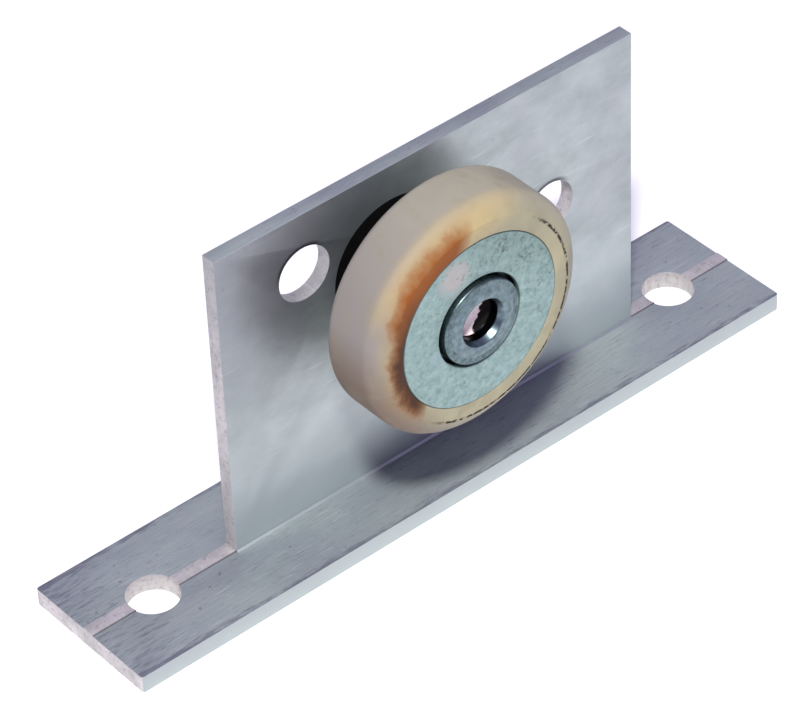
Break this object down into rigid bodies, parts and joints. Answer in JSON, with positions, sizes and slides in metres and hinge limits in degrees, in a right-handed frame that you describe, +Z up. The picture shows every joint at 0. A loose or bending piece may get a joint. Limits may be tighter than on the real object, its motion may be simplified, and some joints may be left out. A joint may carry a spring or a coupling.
{
  "type": "sliding door roller",
  "caption": "Sliding door roller: chamfered plastic-tyred ball-bearing wheel riveted to the upright web of an inverted-T aluminium bracket with bolt holes.",
  "frame": {"origin": "middle of the base flange's underside", "axes": "+X along the flange, +Y to the back of the web, away from the wheel, +Z up along the web"},
  "size_m": [0.16, 0.0428, 0.0767],
  "materials": {
    "mill_aluminium": "mill finish, lengthwise extrusion lines, semi-gloss",
    "ivory_nylon": "cloudy ivory nylon, turned, semi-gloss, stained by grease",
    "zinc_plated_steel": "zinc plate with a pale blue-green passivation, mottled",
    "bearing_steel": "ground",
    "plated_race_steel": "plated, turned, dark blue-grey",
    "ball_steel": "polished",
    "cage_nylon": "moulded",
    "rivet_steel": "plated, rolled over in front",
    "black_plastic": "moulded, matt"
  },
  "bodies": {
    "bracket": {"bracket": "mill_aluminium", "axle_rivet": "rivet_steel", "rear_washer": "zinc_plated_steel", "spacer": "black_plastic", "inner_race_front": "plated_race_steel", "inner_race_rear": "plated_race_steel"},
    "wheel": {"tyre": "ivory_nylon", "front_cheek": "zinc_plated_steel", "rear_cheek": "zinc_plated_steel", "outer_race": "bearing_steel"},
    "ball_set": {"ball_01": "ball_steel", "ball_02": "ball_steel", "ball_03": "ball_steel", "ball_04": "ball_steel", "ball_05": "ball_steel", "ball_06": "ball_steel", "ball_07": "ball_steel", "ball_08": "ball_steel", "ball_09": "ball_steel", "ball_10": "ball_steel", "ball_11": "ball_steel", "ball_cage": "cage_nylon"}
  },
  "joints": [
    {"name": "wheel_spin", "type": "hinge", "parent": "bracket", "child": "wheel", "pos_m": [-0.006, -0.0181, 0.0517], "axis": [0, 1, 0], "continuous": true},
    {"name": "ball_orbit", "type": "hinge", "parent": "bracket", "child": "ball_set", "pos_m": [-0.006, -0.0181, 0.0517], "axis": [0, 1, 0], "continuous": true}
  ],
  "couplings": [
    {"joint": "ball_orbit", "follows": "wheel_spin", "ratio": 0.59677}
  ]
}
